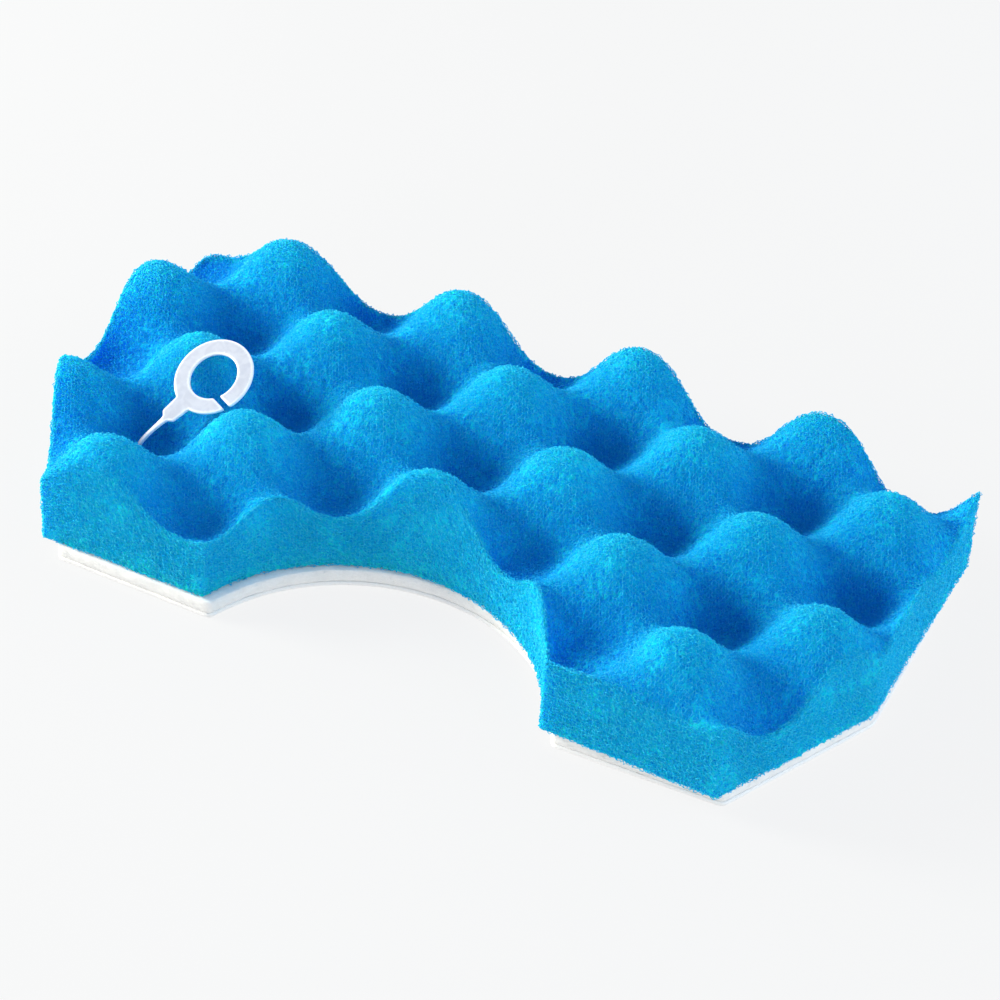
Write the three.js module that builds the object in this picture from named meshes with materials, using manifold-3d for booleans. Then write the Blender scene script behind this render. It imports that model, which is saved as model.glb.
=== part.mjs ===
// Sponge filter for a vacuum cleaner's dust bin: an egg-crate foam sponge lying on a two-ply white
// felt pad, with a moulded pull tag (T-bar, filament and split ring) through the sponge.
// Millimetres. +X along the filter, +Z up, and the arc recess faces -Y.
// The origin is on the underside of the pad, below the middle of the sponge.
import * as THREE from "three";
import { mergeVertices } from "three/addons/utils/BufferGeometryUtils.js";
import Module from "manifold-3d";

const wasm = await Module();
wasm.setup();

// ---- driving dimensions ----
const GAP = 0.3; // clearance between pieces that touch

// plan of the sponge
const HALF_LENGTH = 122.5; // to the side corners
const HALF_WIDTH = 59; // to the back edge
const FRONT_CORNER = [99.8, -59.4]; // outer front corner of each foot
const ARC_END = [50.1, -58.5]; // where the arc recess meets the front of a foot
const ARC_TOP = -22.1; // deepest point of the arc recess
const SIDE_CORNER_Y = -10.5;
const BACK_CORNER_X = [-121, 121.6]; // left and right
const LEFT_CORNER_ROUNDING = 7; // how far from the left back corner its rounding starts

// egg-crate surface
const CREST = 35.9; // height of the tallest bump above the sponge's underside
const RELIEF = 20.8; // from a bump's top down to a hollow's floor
const HALF_PITCH = 27.56; // half the spacing of two bumps in one row
const ROW_PITCH = 25.77; // from one row to the next, which is set half a pitch along
const LATTICE_CORNER = [-88.5, 51.0]; // top of the first bump at the back left
const LATTICE_TURN = THREE.MathUtils.degToRad(2.6);
const STEEPNESS = 0.17; // fills out the bumps and hollows, and steepens the slopes between
const SHARPNESS = 1.13; // above 1, bumps are narrower than hollows
const END_DROP = 2.7; // the surface falls this much towards the two ends
const GRID = 4.2; // spacing of the surface's facets

// felt pad under the sponge
const SCRIM_THICKNESS = 1.3;
const FELT_THICKNESS = 3.7;
const PAD_INSET = 2; // how far the pad is cut inside the sponge's outline
const PAD_TURN = THREE.MathUtils.degToRad(1.2); // how far the pad lies askew
const PAD_SHIFT = 1.5;

// pull tag
const TAG_EXIT = [-88, -30]; // where the filament leaves the sponge, in a hollow
const FILAMENT_RADIUS = 0.6;
const BALL_RADIUS = 0.8; // rounded ends of the filament, at its two flex points
const ANCHOR_RADIUS = 0.8;
const ANCHOR_LENGTH = 9;
const RING_CENTRE = [-75.2, -11.3, 38.5];
const RING_AZIMUTH = THREE.MathUtils.degToRad(61.4); // heading of the tab's axis, from neck to ring
const RING_RISE = THREE.MathUtils.degToRad(29);
const RING_ROLL = THREE.MathUtils.degToRad(6.4);
const RING_OUTER = 11.5;
const RING_INNER = 6.9;
const RING_THICKNESS = 1;
const NECK_REACH = 17.3; // from the ring's centre to the neck
const TAB_REACH = 16.4; // from the ring's centre to the end of the tab
const TAB_HALF_WIDTH = 2.5; // at its end
const TAB_ROOT_HALF_WIDTH = 2.9; // where it joins the ring
const SLIT_PLACE = -3.3; // along the tab's axis
const SLIT_WIDTH = 1.6;

// worked out from the above
const FELT_BOTTOM = SCRIM_THICKNESS + GAP;
const SPONGE_BOTTOM = FELT_BOTTOM + FELT_THICKNESS + GAP;

// ---- helpers ----
// a three.js geometry as a manifold solid
function solid(geometry) {
  const plain = geometry.clone();
  plain.deleteAttribute("normal");
  plain.deleteAttribute("uv");
  const merged = mergeVertices(plain, 1e-4);
  const vertProperties = new Float32Array(merged.attributes.position.array);
  const triVerts = new Uint32Array(merged.index.array);
  return new wasm.Manifold(new wasm.Mesh({ numProp: 3, vertProperties, triVerts }));
}

// a manifold solid as a three.js geometry
function geometryOf(manifold) {
  const mesh = manifold.getMesh();
  const geometry = new THREE.BufferGeometry();
  geometry.setAttribute("position", new THREE.BufferAttribute(mesh.vertProperties, 3));
  geometry.setIndex(new THREE.BufferAttribute(mesh.triVerts, 1));
  geometry.computeVertexNormals();
  return geometry;
}

function namedMesh(name, geometry, color, roughness) {
  const material = new THREE.MeshStandardMaterial({ color, roughness, metalness: 0 });
  const mesh = new THREE.Mesh(geometry, material);
  mesh.name = name;
  return mesh;
}

// closed outline of the sponge, drawn inset by the given distance
function filterOutline(inset) {
  const rise = ARC_TOP - ARC_END[1];
  const radius = (ARC_END[0] ** 2 + rise ** 2) / (2 * rise);
  const halfAngle = Math.asin(ARC_END[0] / radius);
  const up = Math.PI / 2;
  const shape = new THREE.Shape();
  shape.absarc(0, ARC_TOP - radius, radius, up + halfAngle, up - halfAngle, true);
  shape.lineTo(FRONT_CORNER[0] - inset, FRONT_CORNER[1] + inset);
  shape.lineTo(HALF_LENGTH - inset, SIDE_CORNER_Y);
  const backY = HALF_WIDTH - inset;
  const leftX = BACK_CORNER_X[0] + inset;
  const slant = (HALF_LENGTH + BACK_CORNER_X[0]) / (HALF_WIDTH - SIDE_CORNER_Y);
  shape.lineTo(BACK_CORNER_X[1] - inset, backY);
  shape.lineTo(leftX + LEFT_CORNER_ROUNDING, backY);
  shape.quadraticCurveTo(leftX, backY, leftX - slant * LEFT_CORNER_ROUNDING, backY - LEFT_CORNER_ROUNDING);
  shape.lineTo(-HALF_LENGTH + inset, SIDE_CORNER_Y);
  shape.lineTo(-FRONT_CORNER[0] + inset, FRONT_CORNER[1] + inset);
  shape.closePath();
  return shape;
}

function plate(shape, thickness) {
  return new THREE.ExtrudeGeometry(shape, { depth: thickness, bevelEnabled: false, curveSegments: 28 });
}

// ---- egg-crate sponge ----
// height of the moulded surface above the sponge's underside
function crateHeight(x, y) {
  const dx = x - LATTICE_CORNER[0];
  const dy = LATTICE_CORNER[1] - y;
  const along = (dx * Math.cos(LATTICE_TURN) - dy * Math.sin(LATTICE_TURN)) / HALF_PITCH;
  const across = (dx * Math.sin(LATTICE_TURN) + dy * Math.cos(LATTICE_TURN)) / ROW_PITCH;
  const wave = Math.cos(Math.PI * along) * Math.cos(Math.PI * across);
  const shaped = wave * (1 + STEEPNESS * (1 - wave * wave));
  const lift = ((1 + shaped) / 2) ** SHARPNESS;
  return CREST - RELIEF * (1 - lift) - END_DROP * (x / HALF_LENGTH) ** 2;
}

// a block wider and deeper than the sponge, with the egg-crate surface on top
function crateBlock() {
  const columns = 2 * Math.ceil((HALF_LENGTH + GRID) / GRID);
  const rows = 2 * Math.ceil((HALF_WIDTH + GRID) / GRID);
  const block = new THREE.BoxGeometry(columns * GRID, rows * GRID, 1, columns, rows, 1);
  const position = block.attributes.position;
  for (let i = 0; i < position.count; i++) {
    const top = position.getZ(i) > 0;
    position.setZ(i, top ? crateHeight(position.getX(i), position.getY(i)) : -GRID);
  }
  return block;
}

// a clearance hole for the filament and a pocket for the T-bar under the sponge
function tagClearance() {
  const hole = new THREE.CylinderGeometry(FILAMENT_RADIUS + 0.4, FILAMENT_RADIUS + 0.4, 2 * CREST, 12);
  hole.rotateX(Math.PI / 2);
  hole.translate(TAG_EXIT[0], TAG_EXIT[1], 0);
  const width = 2 * (ANCHOR_RADIUS + 0.4);
  const pocket = new THREE.BoxGeometry(ANCHOR_LENGTH + 0.8, width, 2 * width);
  pocket.translate(TAG_EXIT[0], TAG_EXIT[1], 0);
  return solid(hole).add(solid(pocket));
}

function eggCrateFoam() {
  const prism = solid(plate(filterOutline(0), 2 * CREST));
  const body = solid(crateBlock()).intersect(prism).subtract(tagClearance());
  const mesh = namedMesh("egg_crate_foam", geometryOf(body), 0x0b8fdc, 0.95);
  mesh.position.z = SPONGE_BOTTOM;
  return mesh;
}

// ---- felt pad ----
function padPly(name, bottom, thickness, inset, color) {
  const mesh = namedMesh(name, plate(filterOutline(inset), thickness), color, 0.9);
  mesh.position.set(PAD_SHIFT, 0, bottom);
  mesh.rotation.z = PAD_TURN;
  return mesh;
}

// ---- pull tag ----
// the frame of the split ring: its X axis runs up the tab, its Z axis is the ring's own axis
const ringFrame = new THREE.Group();
ringFrame.position.set(...RING_CENTRE);
ringFrame.rotation.set(RING_ROLL, -RING_RISE, RING_AZIMUTH, "ZYX");
ringFrame.updateMatrixWorld();

const tagExitHeight = SPONGE_BOTTOM + crateHeight(...TAG_EXIT);
const stemFoot = new THREE.Vector3(...TAG_EXIT, tagExitHeight + BALL_RADIUS);
const neck = ringFrame.localToWorld(new THREE.Vector3(-NECK_REACH, 0, 0));

// T-bar in its pocket, with the shank that passes up through the sponge
function tagAnchor() {
  const bar = new THREE.CylinderGeometry(ANCHOR_RADIUS, ANCHOR_RADIUS, ANCHOR_LENGTH, 12);
  bar.rotateZ(Math.PI / 2);
  bar.translate(0, 0, ANCHOR_RADIUS);
  const shankTop = tagExitHeight - SPONGE_BOTTOM - GAP;
  const shankLength = shankTop - ANCHOR_RADIUS;
  const shank = new THREE.CylinderGeometry(FILAMENT_RADIUS, FILAMENT_RADIUS, shankLength, 12);
  shank.rotateX(Math.PI / 2);
  shank.translate(0, 0, ANCHOR_RADIUS + shankLength / 2);
  const mesh = namedMesh("tag_anchor", geometryOf(solid(bar).add(solid(shank))), 0xe9eaf4, 0.35);
  mesh.position.set(TAG_EXIT[0], TAG_EXIT[1], SPONGE_BOTTOM);
  return mesh;
}

// the bare filament from the sponge up to the ring's neck, with a ball at each flex point
function tagStem() {
  const intoNeck = new THREE.Vector3(-NECK_REACH - 4, 0, 0);
  const upFromFoot = stemFoot.clone().setZ(stemFoot.z + 2.5);
  const route = new THREE.CubicBezierCurve3(stemFoot, upFromFoot, ringFrame.localToWorld(intoNeck), neck);
  const section = new THREE.Shape();
  section.absarc(0, 0, FILAMENT_RADIUS, 0, 2 * Math.PI);
  const tube = new THREE.ExtrudeGeometry(section, { steps: 8, extrudePath: route, curveSegments: 10 });
  const balls = [stemFoot, neck].map((end) => {
    const ball = new THREE.SphereGeometry(BALL_RADIUS, 10, 8);
    ball.translate(...end.toArray());
    return solid(ball);
  });
  const stem = solid(tube).add(balls[0]).add(balls[1]);
  return namedMesh("tag_stem", geometryOf(stem), 0xe9eaf4, 0.35);
}

// flat split ring with its tab
function pullRing() {
  const slitEdges = [SLIT_PLACE - SLIT_WIDTH / 2, SLIT_PLACE + SLIT_WIDTH / 2];
  const onRing = (radius, x) => -Math.acos(x / radius);
  const tabRootX = -Math.sqrt(RING_OUTER ** 2 - TAB_ROOT_HALF_WIDTH ** 2);
  const tabRoot = Math.atan2(TAB_ROOT_HALF_WIDTH, tabRootX);
  const outline = new THREE.Shape();
  outline.absarc(0, 0, RING_OUTER, onRing(RING_OUTER, slitEdges[1]), tabRoot, false);
  outline.lineTo(-TAB_REACH, TAB_HALF_WIDTH);
  outline.lineTo(-TAB_REACH, -TAB_HALF_WIDTH);
  outline.absarc(0, 0, RING_OUTER, -tabRoot, onRing(RING_OUTER, slitEdges[0]), false);
  outline.absarc(0, 0, RING_INNER, onRing(RING_INNER, slitEdges[0]) + 2 * Math.PI,
    onRing(RING_INNER, slitEdges[1]), true);
  outline.closePath();
  const ring = new THREE.ExtrudeGeometry(outline, {
    depth: RING_THICKNESS,
    bevelEnabled: false,
    curveSegments: 24,
  });
  ring.translate(0, 0, -RING_THICKNESS / 2);
  const mesh = namedMesh("pull_ring", ring, 0xe9eaf4, 0.35);
  ringFrame.add(mesh);
  return ringFrame;
}

// ---- assembly ----
const filter = new THREE.Group();
filter.add(padPly("backing_scrim", 0, SCRIM_THICKNESS, PAD_INSET, 0xf1efeb));
filter.add(padPly("felt_pad", FELT_BOTTOM, FELT_THICKNESS, PAD_INSET, 0xf4f2ee));
filter.add(eggCrateFoam());
filter.add(tagAnchor());
filter.add(tagStem());
filter.add(pullRing());

export default filter;
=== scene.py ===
"""Looks of an egg-crate foam filter sponge on its two-ply felt pad, with a split-ring pull tag.

Shapes are worked out in millimetres, in the CAD part's frame, and make_piece() turns them into metres.
"""

import math

import bpy
import numpy as np
from mathutils import Matrix, Quaternion, Vector
from mathutils.geometry import delaunay_2d_cdt


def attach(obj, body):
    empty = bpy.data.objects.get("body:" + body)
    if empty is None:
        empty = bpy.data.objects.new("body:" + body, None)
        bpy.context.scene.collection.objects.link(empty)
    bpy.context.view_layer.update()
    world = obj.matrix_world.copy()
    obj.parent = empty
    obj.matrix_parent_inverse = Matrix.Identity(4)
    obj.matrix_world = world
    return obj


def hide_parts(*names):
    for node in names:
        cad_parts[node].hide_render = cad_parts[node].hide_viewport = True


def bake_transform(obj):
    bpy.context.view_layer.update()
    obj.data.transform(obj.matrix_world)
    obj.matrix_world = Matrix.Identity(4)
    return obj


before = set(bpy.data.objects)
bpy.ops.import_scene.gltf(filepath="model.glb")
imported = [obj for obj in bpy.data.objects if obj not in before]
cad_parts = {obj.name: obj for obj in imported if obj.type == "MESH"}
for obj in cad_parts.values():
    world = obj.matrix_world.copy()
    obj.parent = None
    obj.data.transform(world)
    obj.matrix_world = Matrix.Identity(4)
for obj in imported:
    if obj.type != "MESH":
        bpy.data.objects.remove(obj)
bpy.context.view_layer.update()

MM = 0.001

# Die-cut outline, in plan
HALF_LENGTH = 122.5
HALF_WIDTH = 59.0
FRONT_CORNER = (99.8, -59.4)
ARC_END = (50.1, -58.5)
ARC_TOP = -22.1
SIDE_CORNER_Y = -10.5
BACK_CORNERS_X = (-121.0, 121.6)
LEFT_CORNER_ROUNDING = 7.0

# Egg-crate surface: heights above the sponge's underside
CREST = 35.9
RELIEF = 20.8
HALF_PITCH = 27.56
ROW_PITCH = 25.77
LATTICE_CORNER = (-88.5, 51.0)
LATTICE_TURN = math.radians(2.6)
STEEPNESS = 0.17
SHARPNESS = 1.13
END_DROP = 2.7

# The stack: scrim, felt, sponge
SCRIM_THICKNESS = 1.3
FELT_BOTTOM = 1.6
FELT_THICKNESS = 3.7
SPONGE_BOTTOM = 5.6
PAD_INSET = 2.0
PAD_TURN = math.radians(1.2)
PAD_SHIFT = 1.5

# Pull tag
TAG_EXIT = (-88.0, -30.0)
STEM_FOOT_Z = 20.92
STEM_RISE = 2.5
FILAMENT_RADIUS = 0.6
ANCHOR_RADIUS = 0.8
ANCHOR_LENGTH = 9.0
ANCHOR_Z = 6.4
RING_CENTRE = (-75.2, -11.3, 38.5)
RING_AZIMUTH = math.radians(61.4)
RING_RISE = math.radians(29)
RING_ROLL = math.radians(6.4)
RING_OUTER = 11.5
RING_INNER = 6.9
RING_THICKNESS = 1.0
NECK_REACH = 17.3
TAB_REACH = 16.4
TAB_HALF_WIDTH = 2.5
TAB_ROOT_HALF_WIDTH = 2.9
SLIT_PLACE = -3.3
SLIT_WIDTH = 1.6

# Camera
CAMERA_AZIMUTH = math.radians(24.92)
CAMERA_ELEVATION = math.radians(39.03)
CAMERA_ROLL = math.radians(3.88)
CAMERA_DISTANCE = 907.7
CAMERA_AIM = (5.9, 3.2, 19.4)
CAMERA_LENS = 121.1
SENSOR_WIDTH = 36.0


# ---------------------------------------------------------------- camera

def direction(azimuth, elevation):
    flat = math.cos(elevation)
    return Vector((math.sin(azimuth) * flat, -math.cos(azimuth) * flat, math.sin(elevation)))


def make_camera():
    """The camera, turned a little about its own axis."""
    data = bpy.data.cameras.new("camera")
    data.lens = CAMERA_LENS
    data.sensor_width = SENSOR_WIDTH
    data.clip_start = 0.05
    data.clip_end = 20
    camera = bpy.data.objects.new("camera", data)
    bpy.context.scene.collection.objects.link(camera)
    back = direction(CAMERA_AZIMUTH, CAMERA_ELEVATION)
    camera.location = (Vector(CAMERA_AIM) + back * CAMERA_DISTANCE) * MM
    camera.rotation_mode = "QUATERNION"
    camera.rotation_quaternion = back.to_track_quat("Z", "Y") @ Quaternion((0, 0, 1), CAMERA_ROLL)
    bpy.context.scene.camera = camera


# ---------------------------------------------------------------- plan shapes

def spaced(start, end, spacing):
    """Points about spacing apart from start up to, but without, end."""
    start, end = np.array(start, float), np.array(end, float)
    steps = max(1, math.ceil(np.linalg.norm(end - start) / spacing))
    return start + (end - start) * np.arange(steps)[:, None] / steps


def arc_recess(spacing):
    """The arc from its left end over its top, without its right end."""
    rise = ARC_TOP - ARC_END[1]
    radius = (ARC_END[0] ** 2 + rise ** 2) / (2 * rise)
    centre_y = ARC_TOP - radius
    end_angle = math.atan2(ARC_END[1] - centre_y, ARC_END[0])
    sweep = math.pi - 2 * end_angle
    steps = math.ceil(sweep * radius / spacing)
    angles = math.pi - end_angle - sweep * np.arange(steps) / steps
    return np.column_stack([radius * np.cos(angles), centre_y + radius * np.sin(angles)])


def rounded_back_corner(x, y):
    """A few points round the left back corner, whose sides would meet at x, y."""
    slant = (HALF_LENGTH + BACK_CORNERS_X[0]) / (HALF_WIDTH - SIDE_CORNER_Y)
    start = np.array([x + LEFT_CORNER_ROUNDING, y])
    end = np.array([x - slant * LEFT_CORNER_ROUNDING, y - LEFT_CORNER_ROUNDING])
    t = np.linspace(0, 1, 9)[:, None]
    return (1 - t) ** 2 * start + 2 * t * (1 - t) * np.array([x, y]) + t ** 2 * end


def die_cut_outline(inset, spacing):
    """The anticlockwise outline, with its straight sides moved in by inset."""
    front_x, front_y = FRONT_CORNER[0] - inset, FRONT_CORNER[1] + inset
    side_x = HALF_LENGTH - inset
    back_y = HALF_WIDTH - inset
    corners = [
        ARC_END,
        (front_x, front_y),
        (side_x, SIDE_CORNER_Y),
        (BACK_CORNERS_X[1] - inset, back_y),
        *rounded_back_corner(BACK_CORNERS_X[0] + inset, back_y),
        (-side_x, SIDE_CORNER_Y),
        (-front_x, front_y),
        (-ARC_END[0], ARC_END[1]),
    ]
    sides = [spaced(a, b, spacing) for a, b in zip(corners, corners[1:])]
    return np.concatenate([arc_recess(spacing), *sides])


def pad_outline(spacing):
    """The pad's outline, smaller than the sponge's and lying a little askew under it."""
    outline = die_cut_outline(PAD_INSET, spacing)
    cosine, sine = math.cos(PAD_TURN), math.sin(PAD_TURN)
    turned = outline @ np.array([[cosine, sine], [-sine, cosine]])
    return smoothed(turned, 3) + (PAD_SHIFT, 0)


def distance_inside(points, loop):
    """Distance of each point to a closed loop, positive inside it and negative outside."""
    nearest = np.full(len(points), np.inf)
    inside = np.zeros(len(points), bool)
    for start, end in zip(loop, np.roll(loop, -1, axis=0)):
        side = end - start
        along = np.clip((points - start) @ side / (side @ side), 0, 1)
        away = points - start - along[:, None] * side
        nearest = np.minimum(nearest, np.hypot(away[:, 0], away[:, 1]))
        if start[1] != end[1]:
            crosses = (start[1] > points[:, 1]) != (end[1] > points[:, 1])
            x_there = start[0] + (points[:, 1] - start[1]) / side[1] * side[0]
            inside ^= crosses & (points[:, 0] < x_there)
    return np.where(inside, nearest, -nearest)


def outward(loop):
    """Outward unit normals of an anticlockwise closed loop."""
    along = np.roll(loop, -1, axis=0) - np.roll(loop, 1, axis=0)
    normals = np.column_stack([along[:, 1], -along[:, 0]])
    return normals / np.linalg.norm(normals, axis=1)[:, None]


def filled_plan(loop, spacing, rng):
    """Triangles filling a closed loop, with inner points about spacing apart.

    The loop's own points come first.
    """
    low, high = loop.min(axis=0), loop.max(axis=0)
    row_step = spacing * math.sqrt(3) / 2
    x, y = np.meshgrid(np.arange(low[0], high[0], spacing), np.arange(low[1], high[1], row_step))
    x[::2] += spacing / 2
    grid = np.column_stack([x.ravel(), y.ravel()])
    grid += rng.uniform(-0.18, 0.18, grid.shape) * spacing
    coarse = loop[:: max(1, len(loop) // 300)]
    grid = grid[distance_inside(grid, coarse) > 0.65 * spacing]
    points = np.concatenate([loop, grid])
    made = delaunay_2d_cdt([Vector(p) for p in points], [], [list(range(len(loop)))], 1, 1e-6)
    triangles = np.array([list(f) for f in made[2]], np.int32)
    plan = np.array([list(p) for p in made[0]])
    a, b, c = (plan[triangles[:, k]] for k in range(3))
    area = (b[:, 0] - a[:, 0]) * (c[:, 1] - a[:, 1]) - (b[:, 1] - a[:, 1]) * (c[:, 0] - a[:, 0])
    triangles[area < 0] = triangles[area < 0][:, ::-1]
    return plan, triangles


# ---------------------------------------------------------------- solids

# Where a point of a slab is
UPPER, WALL, LOWER = 0, 1, 2


def band(upper, lower, count):
    """Triangles between two closed rings of count points, given each one's first point."""
    here = np.arange(count)
    after = (here + 1) % count
    return np.concatenate([
        np.column_stack([upper + here, lower + here, lower + after]),
        np.column_stack([upper + here, lower + after, upper + after]),
    ])


def slab(loop, top, bottom, profile, spacing, under_spacing, rng):
    """A closed solid over an anticlockwise loop.

    top gives the upper face's height from x and y, and bottom is the lower face's height. profile lists
    the wall's rings from the top to the bottom as (inset, share of the way down).
    Returns points, triangles and, for each point, whether it is UPPER, WALL or LOWER.
    """
    normals = outward(loop)
    rings = [loop - inset * normals for inset, _ in profile]
    upper, upper_faces = filled_plan(rings[0], spacing, rng)
    lower, lower_faces = filled_plan(rings[-1], under_spacing, rng)
    count = len(loop)
    parts = [np.column_stack([upper, top(upper[:, 0], upper[:, 1])])]
    starts = [0]
    at = len(upper)
    for ring, (_, share) in list(zip(rings, profile))[1:-1]:
        edge_height = top(ring[:, 0], ring[:, 1])
        parts.append(np.column_stack([ring, edge_height + (bottom - edge_height) * share]))
        starts.append(at)
        at += count
    parts.append(np.column_stack([lower, np.full(len(lower), bottom)]))
    starts.append(at)
    walls = [band(above, below, count) for above, below in zip(starts, starts[1:])]
    triangles = np.concatenate([upper_faces, *walls, lower_faces[:, ::-1] + at])
    points = np.concatenate(parts)
    kind = np.full(len(points), WALL)
    kind[count:len(upper)] = UPPER
    kind[at + count:] = LOWER
    return points, triangles, kind


def flat_at(height):
    """An upper face at one height, for slab()."""
    return lambda x, y: np.full(len(x), height)


def point_normals(points, triangles):
    """Unit normals at the points, weighted by the area of the triangles round them."""
    a, b, c = (points[triangles[:, k]] for k in range(3))
    face = np.cross(b - a, c - a)
    total = np.zeros_like(points)
    for axis in range(3):
        weights = np.repeat(face[:, axis], 3)
        total[:, axis] = np.bincount(triangles.ravel(), weights=weights, minlength=len(points))
    return total / np.maximum(np.linalg.norm(total, axis=1), 1e-12)[:, None]


def undulation(points, wavelength, rng, waves=7):
    """A smooth random value between about -1 and 1 at each point."""
    total = np.zeros(len(points))
    for _ in range(waves):
        heading = rng.normal(size=3)
        heading /= np.linalg.norm(heading)
        total += np.sin(points @ heading * 2 * math.pi / wavelength + rng.uniform(0, 2 * math.pi))
    return total / math.sqrt(waves)


def strands(points, triangles, count, span, lift, radius, sunk, rng):
    """Short bowed strands standing on a surface, each a closed spindle of six triangles.

    span, lift and radius are (smallest, largest). Each strand's two ends are sunk below the surface.
    """
    normals = point_normals(points, triangles)
    a, b, c = (points[triangles[:, k]] for k in range(3))
    area = np.linalg.norm(np.cross(b - a, c - a), axis=1)
    chosen = rng.choice(len(triangles), size=count, p=area / area.sum())
    share = rng.dirichlet((1, 1, 1), size=count)
    corners = triangles[chosen]
    middle = np.einsum("nk,nkd->nd", share, points[corners])
    normal = np.einsum("nk,nkd->nd", share, normals[corners])
    normal /= np.linalg.norm(normal, axis=1)[:, None]
    heading = np.cross(normal, rng.normal(size=(count, 3)))
    heading /= np.linalg.norm(heading, axis=1)[:, None]
    reach = heading * rng.uniform(*span, count)[:, None] / 2
    sink = normal * sunk
    first = middle - reach - sink
    last = middle + reach - sink
    rise = normal * rng.uniform(*lift, count)[:, None]
    lean = reach * rng.uniform(-0.6, 0.6, count)[:, None]
    bow = middle + rise + lean
    across = np.cross(normal, heading)
    thickness = rng.uniform(*radius, count)[:, None]
    spindle = [first, last]
    for k in range(3):
        angle = 2 * math.pi * k / 3
        spindle.append(bow + thickness * (math.cos(angle) * normal + math.sin(angle) * across))
    corners_of_one = []
    for k in range(3):
        here, after = 2 + k, 2 + (k + 1) % 3
        corners_of_one += [(0, after, here), (1, here, after)]
    made = np.stack(spindle, axis=1).reshape(-1, 3)
    faces = (np.array(corners_of_one)[None] + 5 * np.arange(count)[:, None, None]).reshape(-1, 3)
    return made, faces


def neighbours(triangles):
    """Pairs of triangles that share a side."""
    sides = np.sort(triangles[:, [[0, 1], [1, 2], [2, 0]]], axis=2).reshape(-1, 2)
    owner = np.repeat(np.arange(len(triangles)), 3)
    order = np.lexsort((sides[:, 1], sides[:, 0]))
    sides, owner = sides[order], owner[order]
    shared = (sides[1:] == sides[:-1]).all(axis=1)
    return owner[:-1][shared], owner[1:][shared]


def cell_rims(points, triangles, lift, radius, scatter, rng):
    """Open cells over a surface: a strut between the middles of each two neighbouring triangles.

    lift and radius are (smallest, largest), and scatter moves the middles. A strut is a closed prism.
    Returns the struts' points, one strut's triangles, and the two surface triangles that each strut joins.
    """
    up = point_normals(points, triangles)[triangles].mean(axis=1)
    up /= np.linalg.norm(up, axis=1)[:, None]
    shift = np.clip(rng.normal(size=(len(triangles), 3)), -2, 2) * scatter
    knots = points[triangles].mean(axis=1) + shift + up * rng.uniform(*lift, len(triangles))[:, None]
    first, last = neighbours(triangles)
    along = knots[last] - knots[first]
    along /= np.maximum(np.linalg.norm(along, axis=1), 1e-9)[:, None]
    across = np.cross(along, up[first] + up[last])
    across /= np.maximum(np.linalg.norm(across, axis=1), 1e-9)[:, None]
    over = np.cross(across, along)
    thickness = rng.uniform(*radius, len(first))[:, None]
    corners = []
    for centre in (knots[first] - along * thickness / 2, knots[last] + along * thickness / 2):
        for k in range(3):
            angle = 2 * math.pi * k / 3
            corners.append(centre + thickness * (math.cos(angle) * over + math.sin(angle) * across))
    faces = [(0, 2, 1), (3, 4, 5)]
    for k in range(3):
        after = (k + 1) % 3
        faces += [(k, after, 3 + after), (k, 3 + after, 3 + k)]
    made = np.stack(corners, axis=1).reshape(-1, 3)
    return made, np.array(faces), (first, last)


def dome(centre, heading, radius, turn):
    """One ring of a domed end: its centre, heading and radius."""
    return centre + heading * radius * math.sin(turn), heading, radius * math.cos(turn)


def tube(path, radii, sides=16, end_rounds=4):
    """A round tube along a path of points with a radius at each, closed with domed ends."""
    path = np.array(path, float)
    along = np.gradient(path, axis=0)
    along /= np.linalg.norm(along, axis=1)[:, None]
    turns = np.linspace(0, math.pi / 2, end_rounds + 1)[1:]
    head = [dome(path[0], along[0], radii[0], -t) for t in turns[::-1]]
    tail = [dome(path[-1], along[-1], radii[-1], t) for t in turns]
    stations = head[1:] + list(zip(path, along, radii)) + tail[:-1]
    side = np.cross(along[0], (0.3, 0.2, 0.9))
    angles = 2 * math.pi * np.arange(sides) / sides
    rings = []
    for centre, heading, radius in stations:
        side = side - heading * (side @ heading)
        side /= np.linalg.norm(side)
        other = np.cross(heading, side)
        spokes = np.cos(angles)[:, None] * side + np.sin(angles)[:, None] * other
        rings.append(centre + radius * spokes)
    points = np.concatenate([*rings, [head[0][0]], [tail[-1][0]]])
    here = np.arange(sides)
    after = (here + 1) % sides
    faces = [band(k * sides, (k + 1) * sides, sides)[:, ::-1] for k in range(len(rings) - 1)]
    first, last = len(points) - 2, len(points) - 1
    top = (len(rings) - 1) * sides
    faces.append(np.column_stack([np.full(sides, first), after, here]))
    faces.append(np.column_stack([np.full(sides, last), top + here, top + after]))
    return points, np.concatenate(faces)


def joined(*solids):
    """Several (points, triangles) as one."""
    points, triangles, at = [], [], 0
    for p, t in solids:
        points.append(p)
        triangles.append(t + at)
        at += len(p)
    return np.concatenate(points), np.concatenate(triangles)


def make_piece(name, points, triangles, material, smooth=True):
    """A Blender mesh object, in metres, from points in millimetres."""
    mesh = bpy.data.meshes.new(name)
    mesh.vertices.add(len(points))
    mesh.vertices.foreach_set("co", (points * MM).astype(np.float32).ravel())
    mesh.loops.add(triangles.size)
    mesh.loops.foreach_set("vertex_index", triangles.astype(np.int32).ravel())
    mesh.polygons.add(len(triangles))
    mesh.polygons.foreach_set("loop_start", np.arange(0, triangles.size, 3, dtype=np.int32))
    mesh.polygons.foreach_set("use_smooth", np.full(len(triangles), smooth))
    mesh.update(calc_edges=True)
    mesh.materials.append(material)
    piece = bpy.data.objects.new(name, mesh)
    bpy.context.scene.collection.objects.link(piece)
    return piece


def store(piece, name, values):
    """Keep one value per point, for a material to read."""
    attribute = piece.data.attributes.new(name, "FLOAT", "POINT")
    attribute.data.foreach_set("value", np.asarray(values, np.float32))


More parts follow.
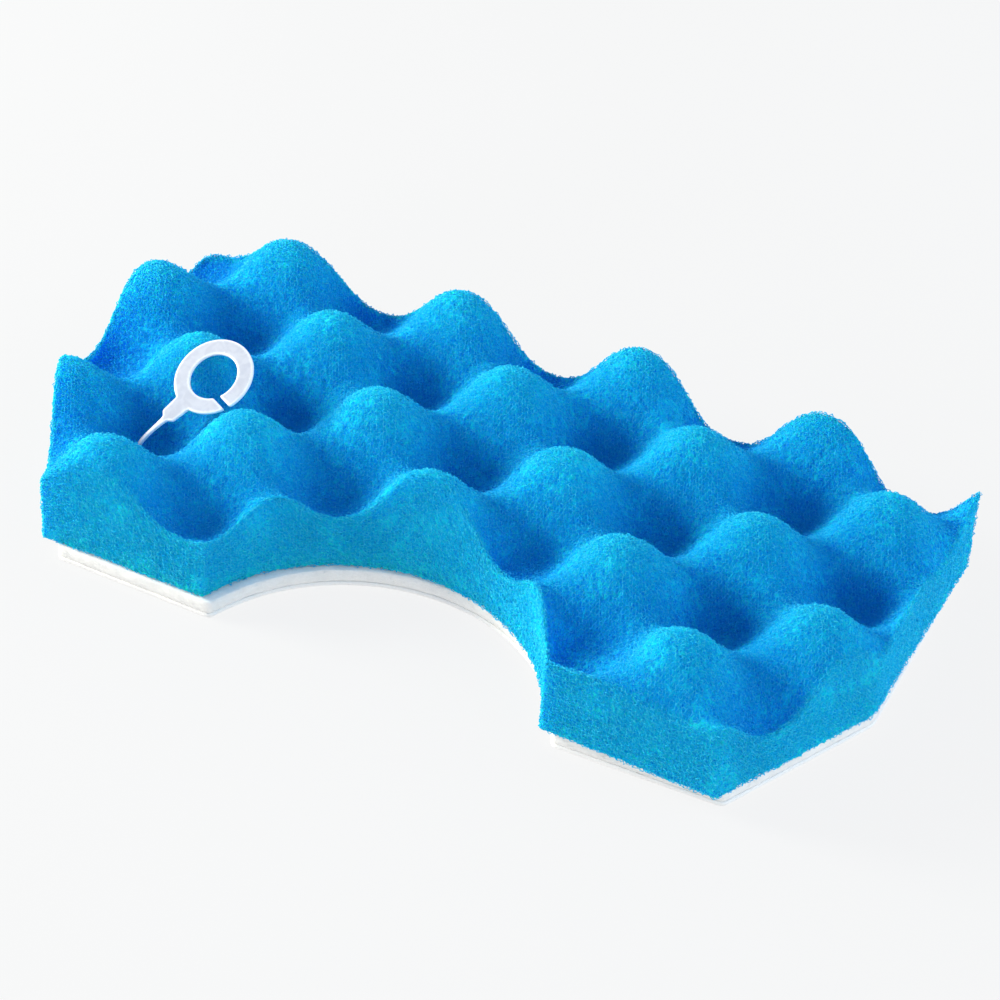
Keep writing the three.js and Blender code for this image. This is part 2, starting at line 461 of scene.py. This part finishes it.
# ---------------------------------------------------------------- material nodes

class Nodes:
    """Short ways to add nodes to one material, whose Principled BSDF is self.shader."""

    def __init__(self, name):
        self.material = bpy.data.materials.new(name)
        self.material.use_nodes = True
        self.tree = self.material.node_tree
        self.shader = self.tree.nodes["Principled BSDF"]
        self.place = self.add("ShaderNodeTexCoord").outputs["Object"]

    def add(self, kind, **settings):
        """A new node with these settings."""
        node = self.tree.nodes.new(kind)
        for key, value in settings.items():
            setattr(node, key, value)
        return node

    def link(self, output, socket):
        self.tree.links.new(output, socket)

    def feed(self, socket, value):
        """Give a socket another node's output or a plain value."""
        if isinstance(value, bpy.types.NodeSocket):
            self.link(value, socket)
        else:
            socket.default_value = value

    def stretched(self, scale):
        """Object coordinates scaled apart on each axis."""
        node = self.add("ShaderNodeVectorMath", operation="MULTIPLY")
        self.link(self.place, node.inputs[0])
        node.inputs[1].default_value = scale
        return node.outputs["Vector"]

    def noise(self, size, detail=2.0, roughness=0.5, distortion=0.0, vector=None):
        """Noise whose features are about size metres across."""
        node = self.add("ShaderNodeTexNoise")
        self.link(vector or self.place, node.inputs["Vector"])
        node.inputs["Scale"].default_value = 1 / size
        node.inputs["Detail"].default_value = detail
        node.inputs["Roughness"].default_value = roughness
        node.inputs["Distortion"].default_value = distortion
        return node.outputs["Fac"]

    def cells(self, size, feature, output, randomness=1.0):
        """Voronoi cells about size metres across."""
        node = self.add("ShaderNodeTexVoronoi", feature=feature)
        self.link(self.place, node.inputs["Vector"])
        node.inputs["Scale"].default_value = 1 / size
        node.inputs["Randomness"].default_value = randomness
        return node.outputs[output]

    def remap(self, value, low, high, to_low, to_high):
        """The value eased from the range low to high into the range to_low to to_high."""
        node = self.add("ShaderNodeMapRange", interpolation_type="SMOOTHSTEP")
        self.link(value, node.inputs["Value"])
        numbers = {"From Min": low, "From Max": high, "To Min": to_low, "To Max": to_high}
        for key, number in numbers.items():
            node.inputs[key].default_value = number
        return node.outputs["Result"]

    def maths(self, operation, a, b):
        node = self.add("ShaderNodeMath", operation=operation)
        self.feed(node.inputs[0], a)
        self.feed(node.inputs[1], b)
        return node.outputs["Value"]

    def mix(self, factor, a, b):
        """A mix of two colours."""
        node = self.add("ShaderNodeMix", data_type="RGBA")
        self.feed(node.inputs["Factor"], factor)
        self.feed(node.inputs["A"], a)
        self.feed(node.inputs["B"], b)
        return node.outputs["Result"]

    def attribute(self, name):
        """A value kept on the piece by store()."""
        node = self.add("ShaderNodeAttribute", attribute_name=name)
        return node.outputs["Fac"]

    def surface(self, colour, roughness):
        """Link what varies over the surface to the shader."""
        self.link(colour, self.shader.inputs["Base Color"])
        self.link(roughness, self.shader.inputs["Roughness"])

    def bump(self, height, distance, strength):
        """Fine relief, distance metres deep."""
        node = self.add("ShaderNodeBump")
        node.inputs["Strength"].default_value = strength
        node.inputs["Distance"].default_value = distance
        self.link(height, node.inputs["Height"])
        self.link(node.outputs["Normal"], self.shader.inputs["Normal"])

    def set(self, **values):
        """Uniform values, set on the shader's own sockets. Underscores stand for spaces."""
        for key, value in values.items():
            self.shader.inputs[key.replace("_", " ")].default_value = value


# Linear colours
# The pores a darker blue than the struts: painted shade inside the open cells
PORE_SHADE_BLUE = (0.001, 0.42, 0.86, 1)
STRUT_BLUE = (0.006, 0.58, 0.87, 1)
# A lit and a shaded copy of the strut blue, scattered at random: painted highlight and painted shade
STRUT_HIGHLIGHT_BLUE = (0.06, 0.74, 0.92, 1)
SHADOWED_STRUT = (0.004, 0.53, 0.87, 1)
# Deep blue of the painted shade in the hollows
HOLLOW_SHADE_BLUE = (0.0, 0.18, 0.90, 1)

# Sizes of the foam's details, in metres
CELL_SIZE = 0.0009
SPECKLE_SIZE = 0.0007
PATCH_SIZE = 0.018
CELL_RELIEF = 0.0006

# How far light spreads in the foam: the scale in metres, and each colour's share of it
FOAM_SCATTER = 0.010
FOAM_SCATTER_SHARES = (0.03, 0.18, 1.0)
# How far the colour goes towards that deep blue in the deepest hollow: painted shade
HOLLOW_SHADE_STRENGTH = 0.48


def with_painted_hollow_shade(n, colour):
    """The colour mixed towards a deep blue by the stored hollow value: painted shade down in the hollows,
    and a little on the walls.
    """
    return n.mix(n.maths("MULTIPLY", n.attribute("hollow"), HOLLOW_SHADE_STRENGTH), colour, HOLLOW_SHADE_BLUE)


def foam_material():
    """Open-cell foam with cells about a millimetre across: struts round pores painted darker as shade,
    specks of painted highlight, patches of painted shade and painted shade down in the hollows.
    """
    n = Nodes("open_cell_foam")
    edge = n.cells(CELL_SIZE, "DISTANCE_TO_EDGE", "Distance")
    strut = n.remap(edge, 0.05, 0.32, 1.0, 0.0)
    speckle = n.remap(n.noise(SPECKLE_SIZE, detail=3, roughness=0.65), 0.35, 0.68, 0.0, 1.0)
    patches = n.remap(n.noise(PATCH_SIZE, detail=3), 0.3, 0.7, 0.0, 1.0)
    # The pores painted darker than the struts, as shade inside the open cells
    body = n.mix(strut, PORE_SHADE_BLUE, STRUT_BLUE)
    # Specks of painted highlight, placed at random
    speckled = n.mix(n.maths("MULTIPLY", speckle, 0.3), body, STRUT_HIGHLIGHT_BLUE)
    # Patches of painted shade, placed at random
    tinted = n.mix(n.maths("MULTIPLY", patches, 0.15), speckled, SHADOWED_STRUT)
    # Painted shade: the colour goes a deeper blue down in the hollows
    n.surface(with_painted_hollow_shade(n, tinted), n.remap(strut, 0.0, 1.0, 0.95, 0.62))
    n.bump(n.maths("ADD", strut, n.maths("MULTIPLY", speckle, 0.5)), CELL_RELIEF, 0.9)
    n.set(Subsurface_Weight=0.8, Subsurface_Radius=FOAM_SCATTER_SHARES, Subsurface_Scale=FOAM_SCATTER)
    n.set(Specular_IOR_Level=0.02)
    return n.material


def strut_material():
    """The rims of the foam's open cells, mixed at random between a lit and a shaded copy of their blue:
    painted highlight and painted shade, and painted shade in the hollows.
    """
    n = Nodes("foam_struts")
    # Which struts take the painted highlight and which take the painted shade
    strut_highlight = n.remap(n.noise(CELL_SIZE, detail=2, roughness=0.7), 0.42, 0.64, 0.0, 1.0)
    colour = n.mix(strut_highlight, SHADOWED_STRUT, STRUT_HIGHLIGHT_BLUE)
    drift = n.remap(n.noise(0.02, detail=2), 0.3, 0.7, 0.0, 0.2)
    # Painted shade down in the hollows, over the struts' colour and a random drift of tone
    n.surface(with_painted_hollow_shade(n, n.mix(drift, colour, STRUT_BLUE)), n.remap(strut_highlight, 0.0, 1.0, 0.7, 0.45))
    n.set(Specular_IOR_Level=0.06)
    return n.material


FELT_WHITE = (0.89, 0.885, 0.87, 1)
FELT_SHADE = (0.78, 0.77, 0.755, 1)


def felt_material():
    """Needled felt: matted fibres in all directions, with small needle marks."""
    n = Nodes("needled_felt")
    along, across = (
        n.noise(0.0006, detail=4, roughness=0.7, distortion=0.6, vector=n.stretched(scale))
        for scale in ((0.25, 1, 1), (1, 0.25, 1))
    )
    fibres = n.maths("MAXIMUM", along, across)
    marks = n.remap(n.cells(0.0022, "F1", "Distance"), 0.05, 0.28, 1.0, 0.0)
    clouds = n.remap(n.noise(0.012, detail=3), 0.3, 0.7, 0.0, 0.25)
    shade = n.maths("ADD", n.remap(fibres, 0.45, 0.72, 0.55, 0.0), clouds)
    colour = n.mix(shade, FELT_WHITE, FELT_SHADE)
    marked = n.mix(n.maths("MULTIPLY", marks, 0.2), colour, FELT_SHADE)
    n.surface(marked, n.remap(fibres, 0.4, 0.7, 0.98, 0.85))
    n.bump(n.maths("SUBTRACT", fibres, n.maths("MULTIPLY", marks, 0.4)), 0.0005, 0.6)
    n.set(Sheen_Weight=0.2, Sheen_Roughness=0.6, Specular_IOR_Level=0.2)
    n.set(Subsurface_Weight=0.4, Subsurface_Radius=(1.0, 1.0, 1.0), Subsurface_Scale=0.0015)
    return n.material


SCRIM_WHITE = (0.89, 0.88, 0.865, 1)
SCRIM_SHADE = (0.76, 0.75, 0.74, 1)


def scrim_material():
    """Thin spun-bonded backing with a grid of pressed bond points."""
    n = Nodes("bonded_scrim")
    bonds = n.remap(n.cells(0.0016, "F1", "Distance", randomness=0.0), 0.16, 0.30, 1.0, 0.0)
    fibres = n.noise(0.0005, detail=4, roughness=0.7, distortion=1.0)
    shade = n.maths("ADD", n.remap(fibres, 0.4, 0.7, 0.4, 0.0), n.maths("MULTIPLY", bonds, 0.3))
    n.surface(n.mix(shade, SCRIM_WHITE, SCRIM_SHADE), n.remap(bonds, 0.0, 1.0, 0.9, 0.6))
    n.bump(n.maths("SUBTRACT", fibres, bonds), 0.0003, 0.6)
    n.set(Sheen_Weight=0.2, Specular_IOR_Level=0.25)
    return n.material


TAG_CORE = (0.46, 0.475, 0.555, 1)
# White of the milky flow marks, and of the painted highlight along the rims
TAG_WHITE_AND_RIM_HIGHLIGHT = (0.97, 0.97, 0.98, 1)


def tag_material():
    """Milky translucent plastic with faint milky flow marks, and a painted highlight along its rounded
    rims.
    """
    n = Nodes("milky_plastic")
    flow = n.noise(0.004, detail=3, distortion=1.5)
    core = n.mix(n.remap(flow, 0.35, 0.65, 0.0, 0.12), TAG_CORE, TAG_WHITE_AND_RIM_HIGHLIGHT)
    grain = n.noise(0.00025, detail=3, roughness=0.6)
    # Painted highlight along the rounded rims
    n.surface(n.mix(n.attribute("rim"), core, TAG_WHITE_AND_RIM_HIGHLIGHT), n.remap(grain, 0.3, 0.7, 0.28, 0.42))
    n.bump(n.maths("ADD", grain, n.maths("MULTIPLY", flow, 2.0)), 0.00004, 0.5)
    n.set(Subsurface_Weight=0.5, Subsurface_Radius=(1.0, 1.0, 1.1), Subsurface_Scale=0.0012, IOR=1.49)
    return n.material


# ---------------------------------------------------------------- sponge

FOAM_SEED = 7

# The foam's surface: spacing of its points and rows of them on its walls
FOAM_SPACING = 0.8
FOAM_UNDER_SPACING = 2.4
WALL_ROWS = 30
CUT_EDGE_INSET = 0.9
CUT_EDGE_SHARE = 0.05
CUT_EDGE_STEPS = 4

# How rough it is: each lump's wavelength and height, and the grain
FOAM_LUMPS = ((16, 0.22), (6, 0.12))
FOAM_GRAIN = 0.20
UNDERSIDE_ROUGHNESS = 0.35

# The open cells' rims, which stand proud of the surface, and how far that surface is sunk
CELL_SPACING = 0.95
CELL_WALL_ROWS = 22
CELL_DEPTH = 0.25
CELL_SCATTER = 0.14
STRUT_LIFT = (-0.35, 0.42)
STRUT_RADIUS = (0.075, 0.14)
STRUT_PIECES = {"crate": 5, "walls": 4}

# The walls get this much of the painted hollow shade, as if they were this far down in a hollow
WALL_HOLLOW_SHADE = 0.2


def crate_height(x, y):
    """Height of the egg-crate face above the floor."""
    across_x = x - LATTICE_CORNER[0]
    across_y = LATTICE_CORNER[1] - y
    cosine, sine = math.cos(LATTICE_TURN), math.sin(LATTICE_TURN)
    u = (across_x * cosine - across_y * sine) / HALF_PITCH
    v = (across_x * sine + across_y * cosine) / ROW_PITCH
    wave = np.cos(math.pi * u) * np.cos(math.pi * v)
    shaped = wave * (1 + STEEPNESS * (1 - wave ** 2))
    lift = ((1 + shaped) / 2) ** SHARPNESS
    return SPONGE_BOTTOM + CREST - RELIEF * (1 - lift) - END_DROP * (x / HALF_LENGTH) ** 2


def foam_solid(spacing, wall_rows, rng):
    """The sponge's closed surface before it is roughened, with the kind of each point."""
    loop = die_cut_outline(0, spacing)
    turns = [math.pi / 2 * k / CUT_EDGE_STEPS for k in range(CUT_EDGE_STEPS)]
    profile = [(CUT_EDGE_INSET * (1 - math.sin(t)), CUT_EDGE_SHARE * (1 - math.cos(t))) for t in turns]
    profile += [(0, share) for share in np.linspace(CUT_EDGE_SHARE, 1 - CUT_EDGE_SHARE / 2, wall_rows)]
    profile.append((CUT_EDGE_INSET / 2, 1))
    return slab(loop, crate_height, SPONGE_BOTTOM, profile, spacing, FOAM_UNDER_SPACING, rng)


def hollow_shade_mask(points, on_wall):
    """How much painted shade each point gets: by its depth between the crests, 0 at a crest and 1 in the
    deepest hollow, and a fixed share on the walls.
    """
    down = np.clip((SPONGE_BOTTOM + CREST - points[:, 2]) / RELIEF, 0, 1)
    return np.where(on_wall, WALL_HOLLOW_SHADE, down)


def roughened_foam(points, triangles, kind, rng):
    """Small lumps and a fine grain on the crate and walls, and less on the underside."""
    normals = point_normals(points, triangles)
    lumps = sum(height * undulation(points, wavelength, rng) for wavelength, height in FOAM_LUMPS)
    grain = np.clip(rng.normal(size=len(points)), -2, 2) * FOAM_GRAIN
    share = np.where(kind == LOWER, UNDERSIDE_ROUGHNESS, 1.0)
    moved = points + normals * ((lumps + grain) * share - CELL_DEPTH * (kind != LOWER))[:, None]
    moved[:, 2] = np.maximum(moved[:, 2], SPONGE_BOTTOM - 0.2)
    return moved


def make_sponge(foam, struts):
    """The sponge, and the rims of its open cells."""
    rng = np.random.default_rng(FOAM_SEED)
    points, triangles, kind = foam_solid(FOAM_SPACING, WALL_ROWS, rng)
    rough = roughened_foam(points, triangles, kind, rng)
    piece = make_piece("foam_sponge", rough, triangles, foam)
    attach(piece, "sponge")
    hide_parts("egg_crate_foam")
    # The depth that the painted hollow shade is mixed by
    store(piece, "hollow", hollow_shade_mask(points, kind != UPPER))
    make_struts(struts, rng)


def make_struts(material, rng):
    """The open cells' rims on the crate and on the walls, in several pieces along the sponge."""
    points, triangles, kind = foam_solid(CELL_SPACING, CELL_WALL_ROWS, rng)
    kinds = kind[triangles]
    seen = kinds.max(axis=1) < LOWER
    triangles, on_crate = triangles[seen], kinds[seen].min(axis=1) == UPPER
    rims = cell_rims(points, triangles, STRUT_LIFT, STRUT_RADIUS, CELL_SCATTER, rng)
    made, faces, (first, last) = rims
    made[:, 2] = np.maximum(made[:, 2], SPONGE_BOTTOM - 0.1)
    struts = made.reshape(len(first), -1, 3)
    middle_x = struts[:, 0, 0]
    on_crate = on_crate[first] | on_crate[last]
    for place, chosen in (("crate", on_crate), ("walls", ~on_crate)):
        count = STRUT_PIECES[place]
        which = np.clip((middle_x / HALF_LENGTH + 1) / 2 * count, 0, count - 1).astype(int)
        for k in range(count):
            name = f"foam_struts_{place}_{k + 1}"
            make_strut_piece(name, struts[chosen & (which == k)], faces, place == "walls", material)


def make_strut_piece(name, struts, faces, on_wall, material):
    """One piece of many struts, each with the same few faces."""
    first_points = struts.shape[1] * np.arange(len(struts))
    triangles = (faces[None] + first_points[:, None, None]).reshape(-1, 3)
    points = struts.reshape(-1, 3)
    piece = make_piece(name, points, triangles, material)
    # The depth that the painted hollow shade is mixed by
    store(piece, "hollow", hollow_shade_mask(points, on_wall))
    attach(piece, "sponge")


# ---------------------------------------------------------------- pad

PLY_SPACING = 0.9
PLY_INNER_SPACING = 2.2
PLY_EDGE_STEPS = 8
FELT_SINK = 0.25  # how far the soft felt sinks onto the scrim

# Fibres along the felt's edge: how many, their (smallest, largest) sizes, and how deep their ends are
FIBRE_COUNT = 5200
FIBRE_SPAN = (0.8, 3.2)
FIBRE_LIFT = (0.05, 0.45)
FIBRE_RADIUS = (0.018, 0.035)
FIBRE_SUNK = 0.08


def rounded_profile(inset, rows):
    """A ply's edge from top to bottom: a half ellipse, inset deep at its top and bottom."""
    profile = []
    for k in range(rows + 1):
        turn = math.pi * k / rows
        profile.append((inset * (1 - math.sin(turn)), (1 - math.cos(turn)) / 2))
    return profile


def make_ply(name, material, bottom, thickness, edge_inset, roughness, seed):
    """One ply of the pad: a soft-edged sheet with a matted surface.

    Returns the piece, and the smooth ply's points, triangles and outline.
    """
    rng = np.random.default_rng(seed)
    loop = pad_outline(PLY_SPACING)
    profile = rounded_profile(edge_inset, PLY_EDGE_STEPS)
    top = bottom + thickness
    inner = PLY_INNER_SPACING
    points, triangles, _ = slab(loop, flat_at(top), bottom, profile, inner, inner, rng)
    normals = point_normals(points, triangles)
    swell = undulation(points, 9, rng) * 0.5 + rng.uniform(-1, 1, len(points)) * 0.5
    on_edge = np.abs(normals[:, 2]) <= 0.9
    moved = points + normals * (swell * roughness * np.where(on_edge, 1.0, 0.4))[:, None]
    moved[:, 2] = np.clip(moved[:, 2], bottom, top + 0.1)
    return make_piece(name, moved, triangles, material), points, triangles, loop


def declare_sheet(piece, node):
    """Put the ply on the pad's body and hide the CAD part it replaces."""
    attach(piece, "pad")
    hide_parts(node)


def make_pad(felt, scrim):
    """The two plies, and loose fibres along the felt's edge."""
    piece, _, _, loop = make_ply(
        "scrim_ply", scrim, 0.0, SCRIM_THICKNESS, edge_inset=0.2, roughness=0.06, seed=21)
    declare_sheet(piece, "backing_scrim")
    bottom, thickness = FELT_BOTTOM - FELT_SINK, FELT_THICKNESS + FELT_SINK
    piece, points, triangles, loop = make_ply(
        "felt_ply", felt, bottom, thickness, edge_inset=0.4, roughness=0.14, seed=22)
    declare_sheet(piece, "felt_pad")
    make_fibres(points, triangles, felt)


def make_fibres(points, triangles, material):
    """Loose fibres along the felt's cut edge."""
    rng = np.random.default_rng(31)
    normals = point_normals(points, triangles)
    edge = triangles[(np.abs(normals[:, 2])[triangles] < 0.95).all(axis=1)]
    made = strands(points, edge, FIBRE_COUNT, FIBRE_SPAN, FIBRE_LIFT, FIBRE_RADIUS, FIBRE_SUNK, rng)
    piece = make_piece("felt_fibres", *made, material, smooth=False)
    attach(piece, "pad")


# ---------------------------------------------------------------- pull tag

TAG_SPACING = 0.2
TAG_INNER_SPACING = 0.45
TAG_EDGE_RADIUS = 0.34
# Width of the painted highlight along the rims
RIM_WIDTH = 0.75
# The foot gets this much of the painted rim highlight all over
FOOT_RIM_HIGHLIGHT = 0.35  # the rim value all over the foot

# The neck: its half width, how far it takes to thin down, and its half width on the way
NECK_HALF_WIDTH = 1.05
NECK_TAPER = 4
NECK_MIDDLE = (1.4, 0.78)

# Shares along the filament, from the foam to the neck: where the foot ends, and the bend starts
BREAK_SHARE = 0.22
BREAK_OVERLAP = 0.02


def ring_frame():
    """Rotation and centre of the ring's own frame: X from the neck to the ring, Z through the hole."""
    turn = Matrix.Rotation(RING_AZIMUTH, 3, "Z")
    rise = Matrix.Rotation(-RING_RISE, 3, "Y")
    roll = Matrix.Rotation(RING_ROLL, 3, "X")
    return np.array(turn @ rise @ roll), np.array(RING_CENTRE)


def in_frame(points):
    """Points in the ring's own frame, in the part's frame."""
    rotation, centre = ring_frame()
    return np.asarray(points, float) @ rotation.T + centre


def stem_curve(shares):
    """Points of the filament from the foam (share 0) to the tab's neck (share 1)."""
    foot = np.array([*TAG_EXIT, STEM_FOOT_Z])
    neck = in_frame([-NECK_REACH, 0, 0])
    before_neck = in_frame([-NECK_REACH - NECK_TAPER, 0, 0])
    control = [foot, foot + (0, 0, STEM_RISE), before_neck, neck]
    t = np.asarray(shares, float)[:, None]
    weights = [(1 - t) ** 3, 3 * t * (1 - t) ** 2, 3 * t ** 2 * (1 - t), t ** 3]
    return sum(w * p for w, p in zip(weights, control))


def circle(radius, start, end, spacing):
    """An arc of a circle round the origin, with both its ends."""
    steps = max(2, math.ceil(abs(end - start) * radius / spacing))
    angles = np.linspace(start, end, steps + 1)
    return np.column_stack([radius * np.cos(angles), radius * np.sin(angles)])


def smoothed(loop, passes):
    """A closed loop with each point moved towards its neighbours, several times."""
    for _ in range(passes):
        loop = (np.roll(loop, 1, axis=0) + 2 * loop + np.roll(loop, -1, axis=0)) / 4
    return loop


def tag_outline(stem_length):
    """Anticlockwise outline of the flat tag: split ring, tab and straightened filament."""
    left, right = SLIT_PLACE - SLIT_WIDTH / 2, SLIT_PLACE + SLIT_WIDTH / 2
    outer_start = -math.acos(right / RING_OUTER)
    outer_end = 2 * math.pi - math.acos(left / RING_OUTER)
    root = math.asin(TAB_ROOT_HALF_WIDTH / RING_OUTER)
    inner_start = 2 * math.pi - math.acos(left / RING_INNER)
    inner_end = -math.acos(right / RING_INNER)
    tip = -NECK_REACH - stem_length
    tab = [
        (-TAB_REACH, TAB_HALF_WIDTH),
        (-NECK_REACH, NECK_HALF_WIDTH),
        (-NECK_REACH - NECK_MIDDLE[0], NECK_MIDDLE[1]),
        (-NECK_REACH - NECK_TAPER, FILAMENT_RADIUS),
        (tip, FILAMENT_RADIUS),
    ]
    below = [(x, -y) for x, y in tab[::-1]]
    pieces = [
        circle(RING_OUTER, outer_start, math.pi - root, TAG_SPACING),
        np.array(tab + below),
        circle(RING_OUTER, math.pi + root, outer_end, TAG_SPACING),
        circle(RING_INNER, inner_start, inner_end, TAG_SPACING),
    ]
    corners = np.concatenate(pieces)
    sides = [spaced(a, b, TAG_SPACING) for a, b in zip(corners, np.roll(corners, -1, axis=0))]
    return smoothed(np.concatenate(sides), 6)


def bent(points):
    """The flat tag in place: what lies past the neck follows the filament's curve down to the foam."""
    placed = in_frame(points)
    past = -NECK_REACH - points[:, 0]
    stem = past > 0
    shares = np.linspace(0, 1, 200)
    curve = stem_curve(shares)
    lengths = np.concatenate([[0], np.cumsum(np.linalg.norm(np.diff(curve, axis=0), axis=1))])
    at = np.interp(lengths[-1] - past[stem], lengths, shares)
    here = stem_curve(at)
    ahead = stem_curve(np.clip(at + 0.01, 0, 1)) - stem_curve(np.clip(at - 0.01, 0, 1))
    ahead /= np.linalg.norm(ahead, axis=1)[:, None]
    rotation, _ = ring_frame()
    side = rotation[:, 1] - ahead * (ahead @ rotation[:, 1])[:, None]
    side /= np.linalg.norm(side, axis=1)[:, None]
    over = np.cross(ahead, side)
    placed[stem] = here + side * points[stem, 1:2] + over * points[stem, 2:3]
    return placed


def curve_length(start, end):
    """Length of the filament between two shares along it."""
    return np.linalg.norm(np.diff(stem_curve(np.linspace(start, end, 200)), axis=0), axis=1).sum()


def tag_solid():
    """The ring, tab and most of the filament as one solid with rounded edges, and its rim values."""
    stem_length = curve_length(BREAK_SHARE, 1)
    loop = tag_outline(stem_length)
    half = RING_THICKNESS / 2
    turns = np.linspace(0, math.pi / 2, 5)
    radius = TAG_EDGE_RADIUS
    edge = [(radius * (1 - math.sin(t)), half - radius * (1 - math.cos(t))) for t in turns]
    profile = edge + [(inset, -z) for inset, z in edge[::-1]]
    shares = [(inset, (half - z) / RING_THICKNESS) for inset, z in profile]
    rng = np.random.default_rng(41)
    inner = TAG_INNER_SPACING
    points, triangles, _ = slab(loop, flat_at(half), -half, shares, inner, inner, rng)
    depth = distance_inside(points[:, :2], loop[::2])
    # How near the edge each point is, for the painted rim highlight
    rim = np.clip(1 - depth / RIM_WIDTH, 0, 1) ** 1.5
    return bent(points), triangles, rim


def make_tag(material):
    """The ring with its filament, which bends at the neck."""
    points, triangles, rim = tag_solid()
    ring = make_piece("pull_tag", points, triangles, material)
    store(ring, "rim", rim)
    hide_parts("pull_ring")
    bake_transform(ring)


def make_foot(material):
    """The shank through the sponge with its T-bar, which bends where it leaves the foam."""
    shank_path = np.concatenate([
        spaced((*TAG_EXIT, ANCHOR_Z), (*TAG_EXIT, STEM_FOOT_Z), 0.8),
        stem_curve(np.linspace(0, BREAK_SHARE + BREAK_OVERLAP, 8)),
    ])
    shank = tube(shank_path, np.full(len(shank_path), FILAMENT_RADIUS))
    half_bar = ANCHOR_LENGTH / 2 - ANCHOR_RADIUS
    bar_x = np.linspace(-half_bar, half_bar, 12)
    bar_path = np.column_stack([TAG_EXIT[0] + bar_x, np.full(12, TAG_EXIT[1]), np.full(12, ANCHOR_Z)])
    bar = tube(bar_path, ANCHOR_RADIUS * (1 - 0.08 * np.cos(bar_x / half_bar * math.pi)))
    foot = make_piece("tag_foot", *joined(shank, bar), material)
    store(foot, "rim", np.full(len(foot.data.vertices), FOOT_RIM_HIGHLIGHT))
    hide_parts("tag_anchor", "tag_stem")
    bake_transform(foot)


# ---------------------------------------------------------------- stage and light

# The sweep, in metres, and how strongly its floor and wall glow
SWEEP_RADIUS = 2.6
SWEEP_MIDDLE = 0.4
SWEEP_BEND = 0.5
SWEEP_TOP = 1.7
SWEEP_STEPS = 12
SWEEP_SIDES = 96
SWEEP_DROP = 0.00005
SWEEP_GREYS = ((0.055, 0.055, 0.055, 1), (0.065, 0.065, 0.065, 1))
SWEEP_GLOW = 0.855
WALL_GLOW = 1.3

WORLD_COLOUR = (0.55, 0.75, 1.0, 1)
WORLD_STRENGTH = 0.46

# Azimuth and elevation in degrees, distance and size in metres, power in watts, and colour
SOFTBOXES = {
    "key": (-76, 24, 1.1, 0.35, 17, (1.0, 0.98, 0.84)),
    "fill": (105, 30, 1.3, 1.3, 8, (0.42, 0.72, 1.0)),
}


def stage_material():
    """White sweep paper, lit evenly enough to glow."""
    n = Nodes("studio_sweep")
    tone = n.remap(n.noise(0.35, detail=2), 0.3, 0.7, 0.0, 1.0)
    n.link(n.mix(tone, *SWEEP_GREYS), n.shader.inputs["Base Color"])
    height = n.add("ShaderNodeSeparateXYZ")
    n.link(n.place, height.inputs["Vector"])
    glow = n.remap(height.outputs["Z"], 0.02, SWEEP_BEND, SWEEP_GLOW, WALL_GLOW)
    n.link(glow, n.shader.inputs["Emission Strength"])
    n.set(Roughness=0.9, Specular_IOR_Level=0.0, Emission_Color=(1.0, 1.0, 1.0, 1))
    return n.material


def make_sweep():
    """A round floor that curves up into a low wall, like studio paper swept up all round."""
    foot = SWEEP_RADIUS - SWEEP_BEND
    profile = [(SWEEP_MIDDLE, 0.0), (foot, 0.0)]
    for k in range(1, SWEEP_STEPS + 1):
        turn = math.pi / 2 * k / SWEEP_STEPS
        profile.append((foot + SWEEP_BEND * math.sin(turn), SWEEP_BEND * (1 - math.cos(turn))))
    profile.append((SWEEP_RADIUS, SWEEP_TOP))
    sides = SWEEP_SIDES
    angles = 2 * math.pi * np.arange(sides) / sides
    x, y = np.cos(angles), np.sin(angles)
    rings = [np.column_stack([r * x, r * y, np.full(sides, z)]) for r, z in profile]
    points = np.concatenate([[(0, 0, 0)], *rings])
    points[:, 2] -= SWEEP_DROP
    here = np.arange(sides)
    middle = np.column_stack([np.zeros(sides, int), 1 + here, 1 + (here + 1) % sides])
    bands = [band(1 + k * sides, 1 + (k + 1) * sides, sides) for k in range(len(rings) - 1)]
    make_piece("floor", points / MM, np.concatenate([middle, *bands]), stage_material())


def make_softbox(name, azimuth, elevation, distance, size, power, colour):
    """A square area light that faces the middle of the floor."""
    data = bpy.data.lights.new(name, "AREA")
    data.size = size
    data.energy = power
    data.color = colour
    light = bpy.data.objects.new(name, data)
    bpy.context.scene.collection.objects.link(light)
    towards = direction(math.radians(azimuth), math.radians(elevation))
    light.location = towards * distance
    light.rotation_euler = towards.to_track_quat("Z", "Y").to_euler()


def make_light():
    """The surrounding light and the softboxes."""
    world = bpy.data.worlds.new("studio")
    bpy.context.scene.world = world
    world.use_nodes = True
    background = world.node_tree.nodes["Background"]
    background.inputs["Color"].default_value = WORLD_COLOUR
    background.inputs["Strength"].default_value = WORLD_STRENGTH
    for name, settings in SOFTBOXES.items():
        make_softbox(name, *settings)
    bpy.context.scene.view_settings.view_transform = "Standard"


make_camera()
make_light()
make_sweep()
make_sponge(foam_material(), strut_material())
make_pad(felt_material(), scrim_material())
tag_plastic = tag_material()
make_tag(tag_plastic)
make_foot(tag_plastic)
